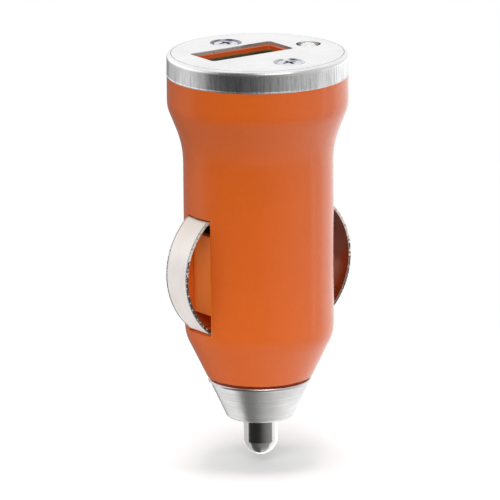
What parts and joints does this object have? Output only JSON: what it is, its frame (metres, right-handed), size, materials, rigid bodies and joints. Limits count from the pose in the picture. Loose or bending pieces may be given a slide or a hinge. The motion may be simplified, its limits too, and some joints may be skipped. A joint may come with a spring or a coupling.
{
  "type": "car usb charger plug",
  "caption": "Car charger plug for a 12 V vehicle socket: metal cap with a USB port and a lamp, glossy orange barrel, sprung side contacts and a sprung tip.",
  "frame": {"origin": "on the plug's axis at the upper end of the straight barrel, where the socket's mouth lies", "axes": "+Z along the plug's axis from the sprung pin to the cap; X across the two side contacts and along the USB port; Y across the USB port, with the port's contacts on the tongue's +Y side"},
  "size_m": [0.0272, 0.0244, 0.0558],
  "materials": {
    "orange_abs": "high gloss orange moulding",
    "orange_insert": "orange moulding",
    "cap_steel": "bright satin",
    "screw_steel": "nickel plated",
    "lamp_resin": "clear epoxy resin",
    "tinned_wire": "tinned",
    "white_plastic": "moulded",
    "port_steel": "tin plated sheet",
    "gold_plate": "thin gold plate",
    "nickel_plate": "turned and nickel plated",
    "nickel_plate_pin": "turned and nickel plated",
    "board_laminate": "green solder mask",
    "black_moulding": "moulded",
    "chip_ceramic": "fired",
    "ferrite": "sintered",
    "copper_wire": "enamelled copper",
    "capacitor_can": "sleeved can",
    "brass": "stamped",
    "spring_steel": "drawn wire",
    "plated_spring_strip": "plated spring strip"
  },
  "bodies": {
    "plug": {"housing": "orange_abs", "port_insert": "orange_insert", "cap": "cap_steel", "cap_screw_front": "screw_steel", "cap_screw_rear": "screw_steel", "indicator_led": "lamp_resin", "led_leads": "tinned_wire", "usb_shell": "port_steel", "usb_tongue": "white_plastic", "usb_contact_1": "gold_plate", "usb_contact_2": "gold_plate", "usb_contact_3": "gold_plate", "usb_contact_4": "gold_plate", "nose_ring": "nickel_plate", "circuit_board": "board_laminate", "converter_chip": "black_moulding", "rectifier_diode": "black_moulding", "fuse": "chip_ceramic", "inductor_core": "ferrite", "inductor_winding": "copper_wire", "input_capacitor": "capacitor_can", "output_capacitor": "capacitor_can", "chip_resistors": "chip_ceramic", "chip_capacitors": "chip_ceramic", "spring_seat": "brass"},
    "pin": {"centre_pin": "nickel_plate_pin", "pin_spring": "spring_steel"},
    "right_contact": {"side_contact_right": "plated_spring_strip"},
    "left_contact": {"side_contact_left": "plated_spring_strip"}
  },
  "joints": [
    {"name": "pin_press", "type": "slide", "parent": "plug", "child": "pin", "axis": [0, 0, 1], "range_m": [0, 0.003], "stiffness_N_per_m": 1200, "springref_m": -0.002, "deforming": ["pin_spring"]},
    {"name": "right_contact_press", "type": "slide", "parent": "plug", "child": "right_contact", "axis": [-1, 0, 0], "range_m": [0, 0.0035], "stiffness_N_per_m": 1500, "springref_m": -0.0004, "deforming": ["side_contact_right"]},
    {"name": "left_contact_press", "type": "slide", "parent": "plug", "child": "left_contact", "axis": [1, 0, 0], "range_m": [0, 0.0035], "stiffness_N_per_m": 1500, "springref_m": -0.0004, "deforming": ["side_contact_left"]}
  ]
}
